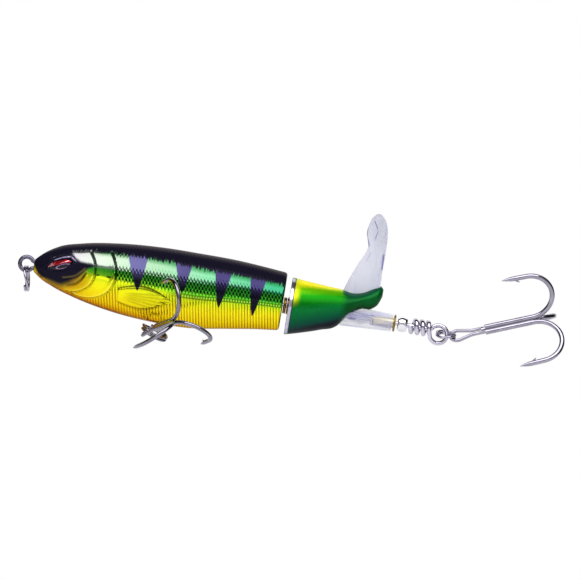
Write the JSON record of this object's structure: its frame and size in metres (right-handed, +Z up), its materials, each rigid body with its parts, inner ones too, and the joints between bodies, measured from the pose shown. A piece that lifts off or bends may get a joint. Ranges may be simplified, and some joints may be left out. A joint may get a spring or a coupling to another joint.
{
  "type": "topwater fishing lure",
  "caption": "Fish-shaped topwater lure with a spinning one-blade tail on a wire shaft, split rings and treble hooks at belly and tail.",
  "frame": {"origin": "centre of the nose eye, where the line pulls", "axes": "+X back along the axis that the tail spins on, +Z up to the back of the lure, -Y its left side"},
  "size_m": [0.1487, 0.044, 0.0458],
  "materials": {
    "body_paint": "gloss painted",
    "tail_plastic": "painted, clear blade",
    "eye_lens": "gloss",
    "tinned_wire": "bright",
    "split_ring": "bright",
    "hook_steel": "black nickel",
    "bead": "mirror",
    "brass": "bright",
    "ballast": "plain"
  },
  "bodies": {
    "lure_body": {"left_body_shell": "body_paint", "right_body_shell": "body_paint", "left_eye": "eye_lens", "right_eye": "eye_lens", "nose_eye": "tinned_wire", "belly_hanger": "tinned_wire", "front_ballast_slug": "ballast", "rear_ballast_slug": "ballast", "tail_shaft": "tinned_wire"},
    "line_ring": {"line_tie_ring": "split_ring"},
    "belly_ring": {"belly_split_ring": "split_ring"},
    "belly_hook": {"belly_treble_hook": "hook_steel"},
    "tail": {"spinning_tail": "tail_plastic", "front_tail_bush": "brass", "rear_tail_bush": "brass"},
    "bead": {"thrust_bead": "bead"},
    "washer": {"thrust_washer": "brass"},
    "tail_ring": {"tail_split_ring": "split_ring"},
    "tail_hook": {"tail_treble_hook": "hook_steel"},
    "front_ball": {"front_rattle_ball": "ballast"},
    "rear_ball": {"rear_rattle_ball": "ballast"}
  },
  "joints": [
    {"name": "line_ring_swing", "type": "hinge", "parent": "lure_body", "child": "line_ring", "pos_m": [0, 0, 0], "axis": [0, 1, 0], "range_deg": [-5, 150]},
    {"name": "belly_ring_swing", "type": "hinge", "parent": "lure_body", "child": "belly_ring", "pos_m": [0.0384, 0, -0.012], "axis": [1, 0, 0], "range_deg": [-5, 125]},
    {"name": "belly_hook_swing", "type": "hinge", "parent": "belly_ring", "child": "belly_hook", "pos_m": [0.0352, -0.006, -0.01285], "axis": [0.7345, 0.1599, -0.6595], "range_deg": [-18, 40]},
    {"name": "tail_spin", "type": "hinge", "parent": "lure_body", "child": "tail", "pos_m": [0.0715, 0, 0], "axis": [1, 0, 0], "continuous": true},
    {"name": "bead_spin", "type": "hinge", "parent": "lure_body", "child": "bead", "pos_m": [0.1027, 0, 0], "axis": [1, 0, 0], "continuous": true},
    {"name": "washer_spin", "type": "hinge", "parent": "lure_body", "child": "washer", "pos_m": [0.0706, 0, 0], "axis": [1, 0, 0], "continuous": true},
    {"name": "tail_ring_swing", "type": "hinge", "parent": "lure_body", "child": "tail_ring", "pos_m": [0.1127, 0, -0.0011], "axis": [0, 1, 0], "range_deg": [-60, 75]},
    {"name": "tail_hook_swing", "type": "hinge", "parent": "tail_ring", "child": "tail_hook", "pos_m": [0.1173, 0, -0.0009], "axis": [0, 1, 0], "range_deg": [-45, 70]},
    {"name": "front_ball_roll", "type": "slide", "parent": "lure_body", "child": "front_ball", "axis": [1, 0, 0], "range_m": [-0.002, 0.0013]},
    {"name": "rear_ball_roll", "type": "slide", "parent": "lure_body", "child": "rear_ball", "axis": [1, 0, 0], "range_m": [-0.0017, 0.002]}
  ]
}
